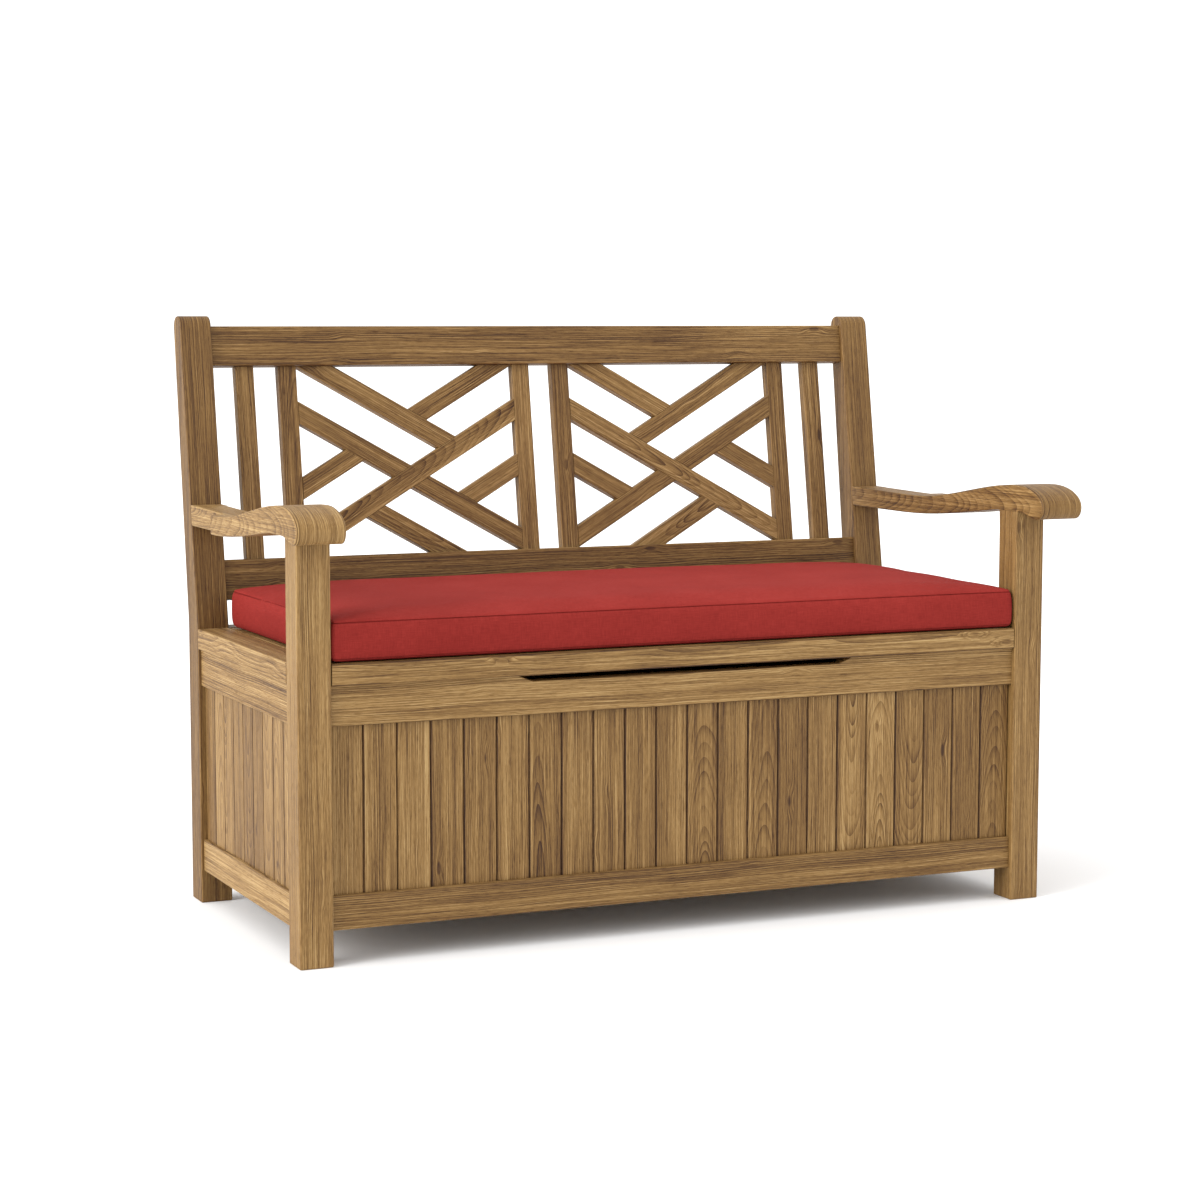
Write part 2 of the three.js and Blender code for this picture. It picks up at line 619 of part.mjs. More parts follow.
bothSides.forEach((side) => {
  const centreX = (side * (panelInner + panelOuter)) / 2;
  const place = (polygon) => polygon.map(([x, z]) => [centreX - side * x, slatZ[0] + z]);
  const inOrder = (polygon) => (side < 0 ? polygon : [...polygon].reverse());
  const made = {};
  latticeBars.forEach(({ name, bar, limits }) => {
    const polygon = [...frameEdges, ...limits].reduce(clip, barStrip(bar));
    const geometry = fromFront(outline(inOrder(place(polygon))), slatY);
    made[name] = piece(`lattice_${name}_${sideName(side)}`, geometry, teak(), back);
  });
  // Where the two long bars cross, each is cut half through.
  const lap = (bar, ys) => fromFront(outline(inOrder(place(barStrip(bar, fitGap)))), ys);
  cut(made.long_rising, [lap(longFalling, [halfLapY - fitGap / 2, slatY[1] + 1])]);
  cut(made.long_falling, [lap(longRising, [slatY[0] - 1, halfLapY + fitGap / 2])]);
});

// ---------------------------------------------------------------- cushion

const cushionZ = [seatHeight + cushionGap, seatHeight + cushionGap + cushionThickness];
const cushionHalf = innerX - cushionGap;
const cushionShape = outline([
  [cushionFront, cushionZ[0], cushionRound],
  [hingeY, cushionZ[0], cushionRound],
  [hingeY, cushionZ[1], cushionRound],
  [cushionFront, cushionZ[1], cushionRound],
]);
piece('seat_cushion', fromSide(cushionShape, [-cushionHalf, cushionHalf], 3), redFabric());

// The origin is on the floor, in the middle of the bench's outer box.
const box = new THREE.Box3().setFromObject(bench);
bench.position.y = -(box.min.y + box.max.y) / 2;

export default bench;
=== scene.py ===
import json
import math
import random

import bmesh
import bpy
import numpy as np
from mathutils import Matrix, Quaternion, Vector, noise


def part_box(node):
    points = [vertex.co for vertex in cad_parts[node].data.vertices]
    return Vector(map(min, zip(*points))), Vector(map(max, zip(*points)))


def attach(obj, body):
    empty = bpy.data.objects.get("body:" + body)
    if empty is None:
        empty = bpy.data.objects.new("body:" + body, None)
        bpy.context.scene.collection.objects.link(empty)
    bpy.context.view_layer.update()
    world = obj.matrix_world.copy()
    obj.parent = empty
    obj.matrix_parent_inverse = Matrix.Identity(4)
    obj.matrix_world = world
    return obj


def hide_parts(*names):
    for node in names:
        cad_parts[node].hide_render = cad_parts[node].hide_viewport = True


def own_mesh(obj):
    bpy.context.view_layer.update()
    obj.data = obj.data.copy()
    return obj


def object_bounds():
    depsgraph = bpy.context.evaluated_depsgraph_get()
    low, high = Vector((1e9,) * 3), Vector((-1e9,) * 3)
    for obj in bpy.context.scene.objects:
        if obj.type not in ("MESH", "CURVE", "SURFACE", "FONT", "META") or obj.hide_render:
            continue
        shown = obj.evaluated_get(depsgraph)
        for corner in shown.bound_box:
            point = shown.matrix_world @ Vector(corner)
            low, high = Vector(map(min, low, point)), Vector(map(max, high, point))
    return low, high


# A garden storage bench in oiled teak: a boarded box on four legs, a hinged lid, scrolled arms,
# a raked back with two lattice panels and one boxed cushion in red canvas.

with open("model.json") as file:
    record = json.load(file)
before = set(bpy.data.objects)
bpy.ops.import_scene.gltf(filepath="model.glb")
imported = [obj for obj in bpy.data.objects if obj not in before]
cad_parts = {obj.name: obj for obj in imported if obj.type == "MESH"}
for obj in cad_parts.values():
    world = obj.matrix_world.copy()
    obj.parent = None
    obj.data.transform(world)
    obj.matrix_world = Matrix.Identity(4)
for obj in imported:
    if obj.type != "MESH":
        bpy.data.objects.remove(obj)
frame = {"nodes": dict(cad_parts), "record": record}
cad_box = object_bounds()

MM = 0.001
RIGHT, BACK, UP = Vector((1, 0, 0)), Vector((0, 1, 0)), Vector((0, 0, 1))
FRONT = -BACK
cad = frame["nodes"]
boxes = {name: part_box(name) for name in cad}
bodies = {node: body for body, members in frame["record"]["behaviour"]["bodies"].items()
          for node in members}


# ------------------------------------------------------------------ camera

def place_camera():
    """Looks at the bench from the front left, a little above the arms."""
    eye = Vector((-1.87845, -4.169457, 0.968222))
    turn, dip, lean = math.radians(24.607), math.radians(6.345), math.radians(0.111)
    ahead = Vector((math.sin(turn) * math.cos(dip), math.cos(turn) * math.cos(dip), -math.sin(dip)))
    lens = bpy.data.cameras.new("studio_camera")
    lens.sensor_width, lens.lens = 36, 84.66
    lens.shift_x, lens.shift_y = -0.0289, 0.0173
    lens.clip_start, lens.clip_end = 0.1, 100
    camera = bpy.data.objects.new("studio_camera", lens)
    bpy.context.scene.collection.objects.link(camera)
    camera.location = eye
    camera.rotation_mode = "QUATERNION"
    camera.rotation_quaternion = Quaternion(ahead, -lean) @ ahead.to_track_quat("-Z", "Y")
    bpy.context.scene.camera = camera


place_camera()


# ------------------------------------------------------------------ finishes

# Which output of a node is used, where it isn't the first.
NOISE_COLOUR = ATTRIBUTE_VECTOR = 1
ATTRIBUTE_NUMBER = MIXED_COLOUR = 2
OBJECT_PLACE = 3


def linear(red, green, blue):
    """A colour of 0 to 255 a channel as the values that a material takes."""
    def one(channel):
        share = channel / 255
        return share / 12.92 if share <= 0.04045 else ((share + 0.055) / 1.055) ** 2.4
    return (one(red), one(green), one(blue), 1.0)


class Wire:
    """One output of a finish's nodes, which takes part in arithmetic."""

    def __init__(self, finish, socket):
        self.finish, self.socket = finish, socket

    def maths(self, operation, *values):
        return self.finish.node("ShaderNodeMath", {"operation": operation}, dict(enumerate(values)))

    def __add__(self, other):
        return self.maths("ADD", self, other)

    __radd__ = __add__

    def __sub__(self, other):
        return self.maths("SUBTRACT", self, other)

    def __rsub__(self, other):
        return self.maths("SUBTRACT", other, self)

    def __mul__(self, other):
        return self.maths("MULTIPLY", self, other)

    __rmul__ = __mul__

    def __truediv__(self, other):
        return self.maths("DIVIDE", self, other)

    def __pow__(self, other):
        return self.maths("POWER", self, other)

    def __abs__(self):
        return self.maths("ABSOLUTE", self)

    def fraction(self):
        return self.maths("FRACT", self)

    def whole(self):
        return self.maths("FLOOR", self)

    def sine(self):
        return self.maths("SINE", self)

    def root(self):
        return self.maths("SQRT", self)

    def swing(self, width):
        """A value that runs from 0 to 1 swings round zero instead, this far in all."""
        return width * (self - 0.5)

    def ramp(self, start, end, low_value=0.0, high_value=1.0):
        """Eases from low_value to high_value as this goes from start to end."""
        return self.finish.node(
            "ShaderNodeMapRange", {"interpolation_type": "SMOOTHSTEP"},
            {"Value": self, "From Min": start, "From Max": end, "To Min": low_value, "To Max": high_value})


class Finish:
    """A material wired up from nodes."""

    def __init__(self, name):
        self.material = bpy.data.materials.new(name)
        self.material.use_nodes = True
        self.tree = self.material.node_tree
        self.tree.nodes.clear()

    def node(self, kind, settings=None, values=None, out=0):
        """Adds a node, sets it up, fills or links its inputs, and gives back one output."""
        made = self.tree.nodes.new(kind)
        for key, value in (settings or {}).items():
            if key == "stops":
                ramp = made.color_ramp
                while len(ramp.elements) < len(value):
                    ramp.elements.new(0.5)
                for element, (place, colour) in zip(ramp.elements, value):
                    element.position, element.color = place, colour
            else:
                setattr(made, key, value)
        for key, value in (values or {}).items():
            socket = made.inputs[key]
            if isinstance(value, Wire):
                self.tree.links.new(value.socket, socket)
            else:
                socket.default_value = value
        return Wire(self, made.outputs[out])

    def attribute(self, label, out):
        return self.node("ShaderNodeAttribute", {"attribute_name": label}, {}, out)

    def place_on_object(self):
        return self.node("ShaderNodeTexCoord", {}, {}, OBJECT_PLACE)

    def split(self, vector):
        first = self.node("ShaderNodeSeparateXYZ", {}, {0: vector})
        outputs = first.socket.node.outputs
        return [Wire(self, outputs[i]) for i in range(3)]

    def join(self, x, y, z=0.0):
        return self.node("ShaderNodeCombineXYZ", {}, {0: x, 1: y, 2: z})

    def vector(self, operation, *values):
        return self.node("ShaderNodeVectorMath", {"operation": operation}, dict(enumerate(values)))

    def noise(self, place, scale=1.0, detail=2.0, rough=0.5, out=0):
        return self.node(
            "ShaderNodeTexNoise", {"noise_dimensions": "3D"},
            {"Vector": place, "Scale": scale, "Detail": detail, "Roughness": rough}, out)

    def strip(self, place, detail=1.0):
        """Noise along one line."""
        return self.node("ShaderNodeTexNoise", {"noise_dimensions": "1D"},
                         {"W": place, "Scale": 1.0, "Detail": detail, "Roughness": 0.5})

    def mix(self, share, first, second):
        return self.node("ShaderNodeMix", {"data_type": "RGBA", "blend_type": "MIX"},
                         {0: share, 6: first, 7: second}, MIXED_COLOUR)

    def colour(self, shade, stops):
        return self.node("ShaderNodeValToRGB", {"stops": stops}, {0: shade})

    def bump(self, height, depth, strength):
        return self.node("ShaderNodeBump", {}, {"Height": height, "Distance": depth, "Strength": strength})

    def surface(self, values):
        shader = self.node("ShaderNodeBsdfPrincipled", {}, values)
        output = self.tree.nodes.new("ShaderNodeOutputMaterial")
        self.tree.links.new(shader.socket, output.inputs["Surface"])
        return self.material


def sawn_place(f):
    """Each piece's own place in the log, across, through and along it, and its place from the
    heart line with the tone of the piece, which carries its painted shade too."""
    return f.attribute("grain", ATTRIBUTE_VECTOR), f.attribute("heart", ATTRIBUTE_VECTOR)


def floor_place(f):
    """The box floor's grain runs along the bench, and each of its boards is from its own log."""
    along, depth, height = f.split(f.place_on_object())
    front, rear = (corner.y for corner in boxes["box_floor"])
    floor_boards, next_log = 6, 3.7
    board = ((depth - front) / ((rear - front) / floor_boards)).whole()
    log = f.join(depth + board, height, along + board * next_log)
    heart = f.join(depth + 0.17, height + 0.02, (board * 0.37).fraction().swing(0.14))
    return log, heart


# Teak: how far rings and fibres sway and swirl, in metres, and how many years a metre holds.
RING_SWAY, RING_SWIRL = 0.020, 0.006
FIBRE_SWAY, FIBRE_SWIRL = 0.007, 0.004
YEARS, UNEVEN_YEARS = 330.0, 2.2
LATE_WOOD = 2.4


def oiled_teak(name, places, stops, ring_depth=1.0, rough=0.58):
    """Teak: year rings round the heart, long fibres, short pores and a slow change of tone."""
    f = Finish(name)
    log, heart = places(f)
    across, through, along = f.split(log)
    heart_across, heart_through, tone = f.split(heart)

    sway = f.noise(f.vector("MULTIPLY", log, (9.0, 9.0, 3.0)), out=NOISE_COLOUR)
    sway_across, sway_through, _ = f.split(f.vector("SUBTRACT", sway, (0.5, 0.5, 0.5)))
    knot_gap = f.node("ShaderNodeTexVoronoi", {"feature": "F1"}, {
        "Vector": f.vector("MULTIPLY", log, (21.0, 21.0, 7.0)), "Scale": 1.0, "Randomness": 0.9})
    knot = knot_gap.ramp(0.05, 0.09, 1.0, 0.0)
    swirl = knot_gap.ramp(0.04, 0.26, 1.0, 0.0)

    ring_across = heart_across + RING_SWAY * sway_across + RING_SWIRL * swirl
    ring_through = heart_through + RING_SWAY * sway_through
    radius = (ring_across * ring_across + ring_through * ring_through).root()
    year = radius * YEARS + UNEVEN_YEARS * f.strip(radius * 80.0)
    late = year.fraction() ** LATE_WOOD
    bold = f.strip(radius * 52.0 + 7.0, 2.0).ramp(0.36, 0.70)

    bent = across + FIBRE_SWAY * sway_across + FIBRE_SWIRL * swirl

    def streaks(crosswise, lengthwise, detail, roughness):
        """Noise drawn out along the fibres, with its two scales a metre."""
        place = f.join(bent * crosswise, through * crosswise, along * lengthwise)
        return f.noise(place, 1.0, detail, roughness)

    ribbon = streaks(120.0, 0.9, 4.0, 0.7)
    fibre = streaks(980.0, 7.5, 2.0, 0.6)
    speck = streaks(1500.0, 90.0, 2.0, 0.6)
    pore = streaks(900.0, 48.0, 2.0, 0.5).ramp(0.56, 0.68)
    blotch = f.noise(f.vector("MULTIPLY", log, (12.0, 12.0, 3.0)))
    # The piece's tone brings in its painted shade, on joints and on the back.
    shade = (0.5 + fibre.swing(1.3) + ribbon.swing(0.9) + blotch.swing(0.35) + speck.swing(0.5)
             + ring_depth * (0.10 - (0.10 + 0.34 * bold) * late)
             + tone - 0.16 * pore - 0.26 * knot)
    relief = fibre * 0.6 - pore * 0.8 - late * 0.3 * ring_depth
    return f.surface({
        "Base Color": f.colour(shade, stops), "Roughness": rough + fibre.swing(0.14) + 0.12 * pore,
        "Normal": f.bump(relief, 0.4 * MM, 0.6), "Specular IOR Level": 0.3})


TEAK_STOPS = [
    (0.00, linear(50, 27, 8)), (0.22, linear(81, 53, 21)), (0.45, linear(112, 82, 41)),
    (0.66, linear(138, 106, 60)), (1.00, linear(176, 146, 98))]
DULLED = 0.72
INSIDE_STOPS = [(place, tuple(DULLED * c for c in colour[:3]) + (1.0,)) for place, colour in TEAK_STOPS]


def hinge_brass():
    """Cast brass, drawn along the leaf and dulled in patches."""
    f = Finish("hinge_brass")
    place = f.place_on_object()
    drawn = f.noise(f.vector("MULTIPLY", place, (60.0, 1400.0, 1400.0)), 1.0, 3.0)
    patch = f.noise(place, 90.0, 3.0, 0.6).ramp(0.42, 0.68)
    colour = f.mix(patch, linear(206, 166, 92), linear(128, 96, 54))
    return f.surface({
        "Base Color": colour, "Metallic": 1.0 - 0.25 * patch,
        "Roughness": 0.28 + 0.2 * patch + 0.12 * drawn, "Normal": f.bump(drawn, 0.06 * MM, 0.6)})


# Canvas: threads a metre, and how fine a slub is across its thread and along it.
THREADS, SLUB_ACROSS, SLUB_ALONG = 900.0, 760.0, 60.0
CANVAS_STOPS = [
    (0.0, linear(86, 23, 21)), (0.42, linear(124, 37, 33)), (0.75, linear(147, 50, 45)),
    (1.0, linear(168, 66, 60))]


def red_canvas():
    """Plain-woven canvas: warp over weft and weft over warp, with slubs and faint clouds. The
    fabric is painted darker along each seam, as painted shade in its crease, and painted lighter where it
    faces up, as painted light on the top."""
    f = Finish("cushion_fabric")
    u, v, _ = f.split(f.node("ShaderNodeUVMap", {"uv_map": "cloth"}))
    warp, weft = u * THREADS, v * THREADS
    over = (0.5 * (warp.whole() + weft.whole())).fraction().ramp(0.1, 0.4)
    warp_round, weft_round = abs((warp * math.pi).sine()), abs((weft * math.pi).sine())
    weave = over * warp_round + (1.0 - over) * weft_round
    slub_warp = f.noise(f.join(u * SLUB_ACROSS, v * SLUB_ALONG), 1.0, 2.0, 0.6)
    slub_weft = f.noise(f.join(u * SLUB_ALONG, v * SLUB_ACROSS), 1.0, 2.0, 0.6)
    cloud = f.noise(f.join(u * 9.0, v * 9.0), 1.0, 3.0)
    # Painted shade along the seams, and painted light on the faces turned up.
    shaded_seam, top_light = (f.attribute(label, ATTRIBUTE_NUMBER) for label in ("seam_line", "sun_fade"))
    shade = (0.44 + slub_warp.swing(0.42) + slub_weft.swing(0.42) + cloud.swing(0.3)
             + weave.swing(0.2) - 0.26 * shaded_seam + 0.2 * top_light)
    height = weave + 0.5 * slub_warp + 0.5 * slub_weft
    return f.surface({
        "Base Color": f.colour(shade, CANVAS_STOPS), "Roughness": 0.86 + weave.swing(0.1),
        "Normal": f.bump(height, 0.25 * MM, 0.45), "Specular IOR Level": 0.05})


def pale_floor():
    """A white studio floor, very faintly flecked."""
    f = Finish("studio_floor")
    fleck = f.noise(f.place_on_object(), 3.0)
    return f.surface({"Base Color": f.mix(fleck, (0.93, 0.93, 0.93, 1.0), (0.96, 0.96, 0.96, 1.0)),
                      "Roughness": 0.9, "Specular IOR Level": 0.1})


teak = oiled_teak("teak", sawn_place, TEAK_STOPS)
teak_inside = oiled_teak("teak_inside", floor_place, INSIDE_STOPS, ring_depth=0.8, rough=0.7)
brass = hinge_brass()
canvas = red_canvas()


# ------------------------------------------------------------------ bench work

def only(piece=None):
    """Selects this piece and nothing else, or nothing at all."""
    bpy.ops.object.select_all(action="DESELECT")
    if piece:
        piece.select_set(True)
        bpy.context.view_layer.objects.active = piece


def start_shaping(piece):
    only(piece)
    bpy.ops.object.mode_set(mode="EDIT")
    bpy.context.tool_settings.mesh_select_mode = (False, True, False)
    bpy.ops.mesh.select_all(action="SELECT")


def end_shaping():
    bpy.ops.object.mode_set(mode="OBJECT")


def pick(piece, test):
    """In edit mode: selects the edges for which test is true, and says how many there are."""
    form = bmesh.from_edit_mesh(piece.data)
    form.normal_update()
    chosen = [edge for edge in form.edges if test(edge)]
    for part in (*form.faces, *form.edges, *form.verts):
        part.select = False
    for edge in chosen:
        edge.select_set(True)
    bmesh.update_edit_mesh(piece.data, loop_triangles=False, destructive=False)
    return len(chosen)


def pick_face(piece, direction):
    """In edit mode: selects the largest face that is turned to this direction."""
    form = bmesh.from_edit_mesh(piece.data)
    form.normal_update()
    bpy.ops.mesh.select_all(action="DESELECT")
    turned = [face for face in form.faces if face.normal.dot(direction) > 0.99]
    max(turned, key=lambda face: face.calc_area()).select_set(True)
    form.select_flush_mode()
    bmesh.update_edit_mesh(piece.data, loop_triangles=False, destructive=False)


def run_of(edge):
    """The way an edge goes, with its length."""
    return edge.verts[1].co - edge.verts[0].co


def outer_corner(edge):
    return len(edge.link_faces) == 2 and edge.calc_face_angle_signed() > math.radians(28)


def in_box(point, box, margin):
    return all(box[0][i] - margin <= point[i] <= box[1][i] + margin for i in range(3))


def ease(piece, test, width, steps):
    """Takes the sharpness off the chosen edges."""
    start_shaping(piece)
    if pick(piece, test):
        bpy.ops.mesh.bevel(offset=width, segments=steps, profile=0.5, affect="EDGES")
    end_shaping()


def free_edges(node):
    """True for outer edges of a node's copy that no other piece covers."""
    others = [box for name, box in boxes.items() if name != node]

    def test(edge):
        point = (edge.verts[0].co + edge.verts[1].co) / 2
        return outer_corner(edge) and not any(in_box(point, box, 0.6 * MM) for box in others)
    return test


def long_edges(piece, along, across, through):
    """True for the four long edges of a straight bar or rail, and not for those of its tenons."""
    limits = []
    for axis in (across, through):
        places = [v.co.dot(axis) for v in piece.data.vertices]
        limits.append((axis, min(places), max(places)))

    def on_corner(vertex):
        return all(min(abs(vertex.co.dot(axis) - least), abs(vertex.co.dot(axis) - most)) <= 0.15 * MM
                   for axis, least, most in limits)

    def test(edge):
        run = run_of(edge)
        return (run.length > 1 * MM and abs(run.normalized().dot(along)) > 0.999
                and all(map(on_corner, edge.verts)) and outer_corner(edge))
    return test


def points_of(piece):
    points = np.empty(len(piece.data.vertices) * 3)
    piece.data.vertices.foreach_get("co", points)
    return points.reshape(-1, 3)


def place_points(piece, points):
    piece.data.vertices.foreach_set("co", np.asarray(points, dtype=np.float32).ravel())
    piece.data.update()


log_draw = random.Random(41)
LOG_STARTS = 40         # metres of logs to start a piece in
TONE_SPREAD = 0.075     # how far the tone of a piece may be from that of its kind


def lay_grain(piece, along, face, flat_sawn, shade=0.0, wrapped=False, painted_joint_shade=0.0):
    """Gives the piece its place in a log: along is the way the fibres run, and face shows the
    figure. On a wrapped piece the fibres of the other faces follow its outline round. Faces that
    are turned from face and along by less than a right angle, as in a V joint, get painted_joint_shade:
    painted shade for the shadow in the joint."""
    across = along.cross(face).normalized()
    through = along.cross(across).normalized()
    if flat_sawn:
        sideways = log_draw.uniform(-0.016, 0.016)
        depth = log_draw.uniform(0.022, 0.045)
        tilt = log_draw.choice((-1, 1)) * log_draw.uniform(0.06, 0.12)
    else:
        sideways = log_draw.choice((-1, 1)) * log_draw.uniform(0.05, 0.12)
        depth = log_draw.uniform(0.01, 0.05)
        tilt = log_draw.uniform(-0.02, 0.02)
    start = log_draw.uniform(0, LOG_STARTS)
    tone = shade + log_draw.uniform(-TONE_SPREAD, TONE_SPREAD)

    mesh = piece.data
    points = points_of(piece)
    points = points - (points.min(0) + points.max(0)) / 2
    corners = np.empty(len(mesh.loops), dtype=np.int64)
    mesh.loops.foreach_get("vertex_index", corners)
    points = points[corners]
    lengthwise, sidewise, deep = (points @ np.array(axis) for axis in (along, across, through))

    def at_corners(test):
        """Whether test is true for the face of each corner."""
        return np.repeat([test(abs(p.normal.dot(face))) for p in mesh.polygons],
                         [p.loop_total for p in mesh.polygons])

    tones = np.full(len(deep), tone)
    # Painted shade on the slanted faces, for the shadow in a joint.
    tones[at_corners(lambda facing: 0.2 < facing < 0.95)] += painted_joint_shade
    log = np.stack([sidewise, deep, lengthwise + start], axis=1)
    heart = np.stack([sidewise + sideways, deep + depth + tilt * lengthwise, tones], axis=1)
    if wrapped:
        others = at_corners(lambda facing: facing < 0.8)
        wrap_log = np.stack([deep, np.zeros(len(deep)), lengthwise - sidewise + start], axis=1)
        wrap_heart = np.stack([deep + 0.09, np.full(len(deep), 0.02), tones], axis=1)
        log[others], heart[others] = wrap_log[others], wrap_heart[others]
    for label, values in (("grain", log), ("heart", heart)):
        attribute = mesh.attributes.new(label, "FLOAT_VECTOR", "CORNER")
        attribute.data.foreach_set("vector", values.astype(np.float32).ravel())


def finish_piece(piece, material, slot, body, *replaced):
    """Smooths the small facets, gives the piece its finish and body, and hides what it stands for."""
    only(piece)
    bpy.ops.object.shade_smooth_by_angle(angle=math.radians(12))
    piece.data.materials.clear()
    piece.data.materials.append(material)
    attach(piece, body)
    if replaced:
        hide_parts(*replaced)


# ------------------------------------------------------------------ legs, rails, arms, slats

def planed(node):
    """A copy of a CAD node with its loose triangles merged into clean faces."""
    piece = bpy.data.objects.new(f"teak_{node}", cad[node].data.copy())
    bpy.context.scene.collection.objects.link(piece)
    start_shaping(piece)
    bpy.ops.mesh.remove_doubles(threshold=0.01 * MM)
    bpy.ops.mesh.dissolve_limited(angle_limit=math.radians(0.3))
    end_shaping()
    return piece


def straightest(piece):
    """The direction of the longest edge."""
    points = [v.co for v in piece.data.vertices]
    runs = [points[edge.vertices[1]] - points[edge.vertices[0]] for edge in piece.data.edges]
    return max(runs, key=lambda run: run.length).normalized()


RAKE = math.radians(9.2)
raked_up = Vector((0, math.sin(RAKE), math.cos(RAKE)))
raked_face = Vector((0, -math.cos(RAKE), math.sin(RAKE)))

# What each kind of piece needs: the way its grain runs, the face with the figure, the width in
# mm that its edges are eased by, and which edges those are.
kinds = [
    (("front_leg",), UP, FRONT, 2.4, "free"),
    (("rear_post",), UP, RIGHT, 2.4, "free"),
    (("armrest",), BACK, RIGHT, 3.0, "free"),
    (("front_apron",), RIGHT, FRONT, 2.0, "free"),
    (("seat_side_rail",), BACK, UP, 2.0, "long"),
    (("side_apron", "side_bottom_rail"), BACK, RIGHT, 1.6, "long"),
    (("lid_end", "lid_middle_batten"), BACK, UP, 1.6, "long"),
    (("lid_front_rail", "lid_rear_rail", "lid_slat", "rear_seat_rail"), RIGHT, UP, 2.2, "long"),
    (("rear_apron", "front_bottom_rail", "rear_bottom_rail"), RIGHT, FRONT, 1.6, "long"),
    (("back_top_rail", "back_bottom_rail"), RIGHT, raked_face, 2.4, "long"),
    (("back_slat",), raked_up, raked_face, 1.4, "long"),
    (("lattice",), None, raked_face, 1.4, "long"),
]
FLAT_SAWN = ("armrest", "lid_slat", "lattice_long_r", "back_slat_2", "lattice_lower_f")
WRAPPED = ("armrest", "rear_post", "front_leg")

# Tones by name or first word. The back and the rear pieces are painted darker than the box, as painted
# shade, and the rail behind the cushion is the darkest, with the cushion's shadow painted on it.
tone_and_painted_shade_of = {
    "back": -0.07, "back_top_rail": -0.05, "back_bottom_rail": -0.14, "lattice": -0.03, "rear": -0.09,
    "armrest_left": 0.03, "armrest_right": -0.1, "front_leg_right": -0.1, "side": 0.04,
    "front_apron": -0.04, "front_bottom_rail": -0.08, "lid_front_rail": 0.1}

# The eased edges on both sides of the lid's joint are darkened with painted shade, for the shadow line in
# the joint and under the cushion's front edge.
LID_JOINT_PIECES, LID_JOINT_PAINTED_SHADE = ("front_apron", "lid_front_rail"), -0.3


def wooden_piece(node, along, face, width, edges):
    """A bar, rail, leg, arm or slat with its edges eased and its own place in a log."""
    piece = planed(node)
    along = along or straightest(piece)
    if edges == "free":
        ease(piece, free_edges(node), width * MM, steps=3)
    else:
        across = along.cross(face).normalized()
        ease(piece, long_edges(piece, along, across, face), width * MM, steps=2)
    tone = tone_and_painted_shade_of.get(node, tone_and_painted_shade_of.get(node.split("_")[0], 0.0))
    # Painted shade on the eased edges by the lid's joint.
    lay_grain(piece, along, face, node.startswith(FLAT_SAWN), tone, node.startswith(WRAPPED),
              LID_JOINT_PAINTED_SHADE if node in LID_JOINT_PIECES else 0.0)
    finish_piece(piece, teak, "teak", bodies[node], node)


for node in sorted(cad):
    for starts, *making in kinds:
        if node.startswith(starts):
            wooden_piece(node, *making)
            break


# ------------------------------------------------------------------ boarded walls

VEE = 1.6 * MM                              # chamfer of a board's outer long edges
BOARD_GAP = 0.6 * MM
GROOVE_WALL, GROOVE_DEPTH = 0.30, 3.0 * MM  # a wall is a share of the board's thickness
TONGUE_WALL, TONGUE_LENGTH = 0.33, 2.6 * MM
FLAT_SAWN_BOARDS = 0.42
# Painted shade on the chamfers of the V joints between boards, for the shadow in the joints.
PAINTED_JOINT_SHADE = -0.4

board_draw = random.Random(5)


def pattern_board(start, size, run, outward, width, pitch):
    """The first board of a wall: chamfered outside, a groove on one edge, a tongue on the other."""
    first = start + size / 2 - run * (size.dot(run) / 2 - pitch / 2)
    scale = Vector((width if run.x else size.x, width if run.y else size.y, size.z))
    only()
    bpy.ops.mesh.primitive_cube_add(size=1, location=first, scale=scale)
    pattern = bpy.context.active_object
    bpy.ops.object.transform_apply(location=True, rotation=True, scale=True)
    face_place = max(v.co.dot(outward) for v in pattern.data.vertices)

    def outer_long(edge):
        return (abs(run_of(edge).normalized().dot(UP)) > 0.99
                and all(abs(v.co.dot(outward) - face_place) < 0.1 * MM for v in edge.verts))

    start_shaping(pattern)
    pick(pattern, outer_long)
    bpy.ops.mesh.bevel(offset=VEE, segments=1, affect="EDGES")
    thick = abs(size.dot(outward))
    bpy.context.tool_settings.mesh_select_mode = (False, False, True)
    for side, wall, reach in ((-run, GROOVE_WALL, -GROOVE_DEPTH), (run, TONGUE_WALL, TONGUE_LENGTH)):
        pick_face(pattern, side)
        bpy.ops.mesh.inset(thickness=wall * thick)
        bpy.ops.mesh.extrude_region_move(TRANSFORM_OT_translate={"value": side * reach})
    end_shaping()
    return pattern


def boarded_wall(node, outward, count, label):
    """Upright tongued and grooved boards between the rails, from one end of the wall to the other."""
    start, end = boxes[node]
    run = RIGHT if abs(outward.y) > 0.5 else BACK
    size = end - start
    pitch = size.dot(run) / count
    pattern = pattern_board(start, size, run, outward, pitch - BOARD_GAP, pitch)
    wall_end = end.dot(run)
    for board in range(count):
        piece = bpy.data.objects.new(f"{label}_{board + 1:02d}", pattern.data.copy())
        bpy.context.scene.collection.objects.link(piece)
        shift = run * (pitch * board)
        for vertex in piece.data.vertices:
            vertex.co += shift
            vertex.co -= run * max(0.0, vertex.co.dot(run) - wall_end)
        lay_grain(piece, UP, outward, board_draw.random() < FLAT_SAWN_BOARDS, painted_joint_shade=PAINTED_JOINT_SHADE)
        finish_piece(piece, teak, "teak", bodies[node], node)
    bpy.data.objects.remove(pattern)


boarded_wall("front_boards", FRONT, 22, "front_board")
boarded_wall("rear_boards", BACK, 22, "rear_board")
boarded_wall("side_boards_left", -RIGHT, 9, "left_board")
boarded_wall("side_boards_right", RIGHT, 9, "right_board")


# ------------------------------------------------------------------ hinges, box floor

